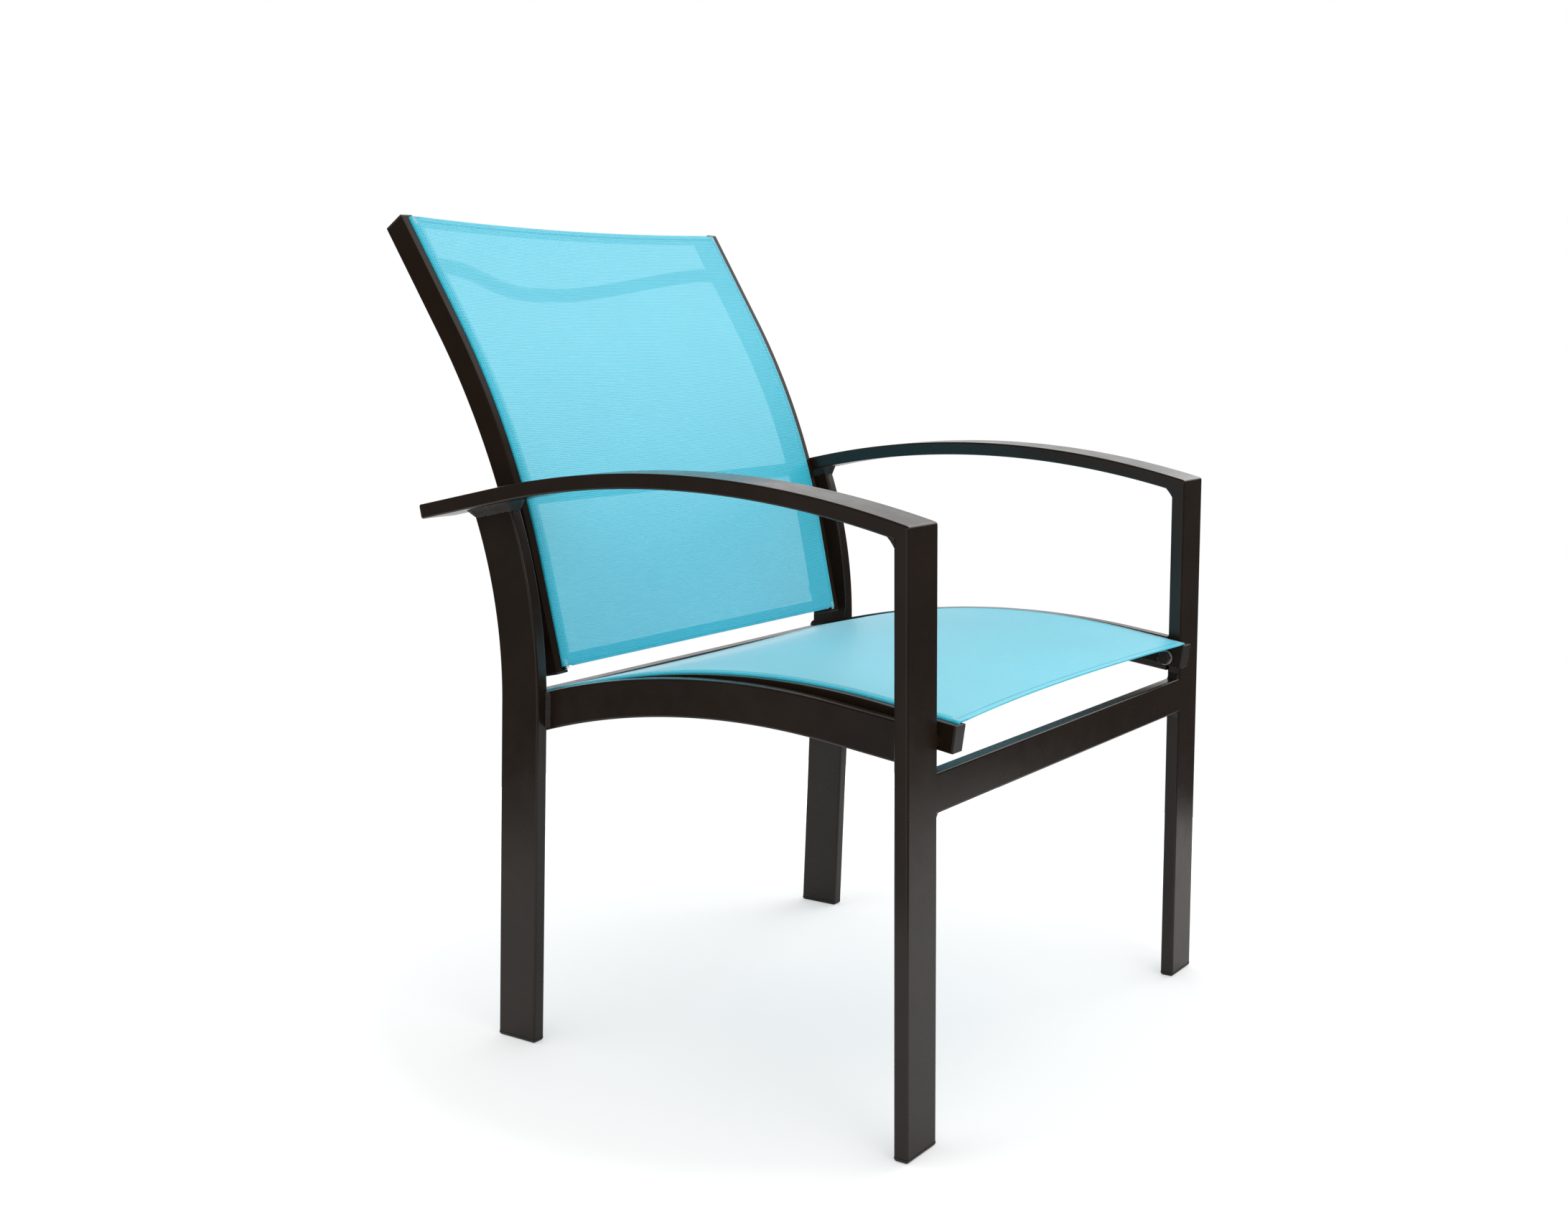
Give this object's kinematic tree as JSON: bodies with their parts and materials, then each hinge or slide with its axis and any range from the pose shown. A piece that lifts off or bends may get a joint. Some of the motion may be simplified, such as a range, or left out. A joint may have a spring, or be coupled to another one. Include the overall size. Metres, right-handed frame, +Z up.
{
  "type": "sling patio chair",
  "caption": "Patio armchair with mesh sling seat and back held in grooved rails on a dark welded tube frame with arched arms.",
  "frame": {"origin": "middle of the chair's footprint, on the floor", "axes": "+X to the sitter's left, +Y to the back of the chair, +Z up"},
  "size_m": [0.637, 0.7146, 0.8623],
  "materials": {
    "frame_tube": "satin dark bronze powder coat",
    "sling_rail": "satin dark bronze powder coat",
    "sling_cloth": "aqua vinyl-coated mesh, fine cross ribs",
    "spline": "plain",
    "plastic": "matt dark brown",
    "bolt": "dark coated steel",
    "washer": "bright zinc"
  },
  "bodies": {
    "root": {"left_arm": "frame_tube", "left_front_leg": "frame_tube", "left_rear_leg": "frame_tube", "left_side_rail": "frame_tube", "right_arm": "frame_tube", "right_front_leg": "frame_tube", "right_rear_leg": "frame_tube", "right_side_rail": "frame_tube", "front_apron": "frame_tube", "rear_crossbar": "frame_tube", "upper_back_spreader": "frame_tube", "lower_back_spreader": "frame_tube", "seat_spreader": "frame_tube", "left_seat_rail": "sling_rail", "left_back_rail": "sling_rail", "right_seat_rail": "sling_rail", "right_back_rail": "sling_rail", "seat_sling": "sling_cloth", "back_sling": "sling_cloth", "left_seat_spline": "spline", "left_back_spline": "spline", "right_seat_spline": "spline", "right_back_spline": "spline", "left_arm_end_cap": "plastic", "left_front_foot_glide": "plastic", "left_rear_foot_glide": "plastic", "left_seat_rail_front_cap": "plastic", "left_seat_rail_rear_cap": "plastic", "left_back_rail_lower_cap": "plastic", "left_back_rail_upper_cap": "plastic", "left_seat_spacer_front": "plastic", "left_seat_spacer_rear": "plastic", "left_back_spacer_low": "plastic", "left_back_spacer_high": "plastic", "right_arm_end_cap": "plastic", "right_front_foot_glide": "plastic", "right_rear_foot_glide": "plastic", "right_seat_rail_front_cap": "plastic", "right_seat_rail_rear_cap": "plastic", "right_back_rail_lower_cap": "plastic", "right_back_rail_upper_cap": "plastic", "right_seat_spacer_front": "plastic", "right_seat_spacer_rear": "plastic", "right_back_spacer_low": "plastic", "right_back_spacer_high": "plastic", "left_seat_bolt_front": "bolt", "left_seat_bolt_rear": "bolt", "left_back_bolt_low": "bolt", "left_back_bolt_high": "bolt", "right_seat_bolt_front": "bolt", "right_seat_bolt_rear": "bolt", "right_back_bolt_low": "bolt", "right_back_bolt_high": "bolt", "left_seat_washer_front": "washer", "left_seat_washer_rear": "washer", "right_seat_washer_front": "washer", "right_seat_washer_rear": "washer"}
  },
  "joints": []
}
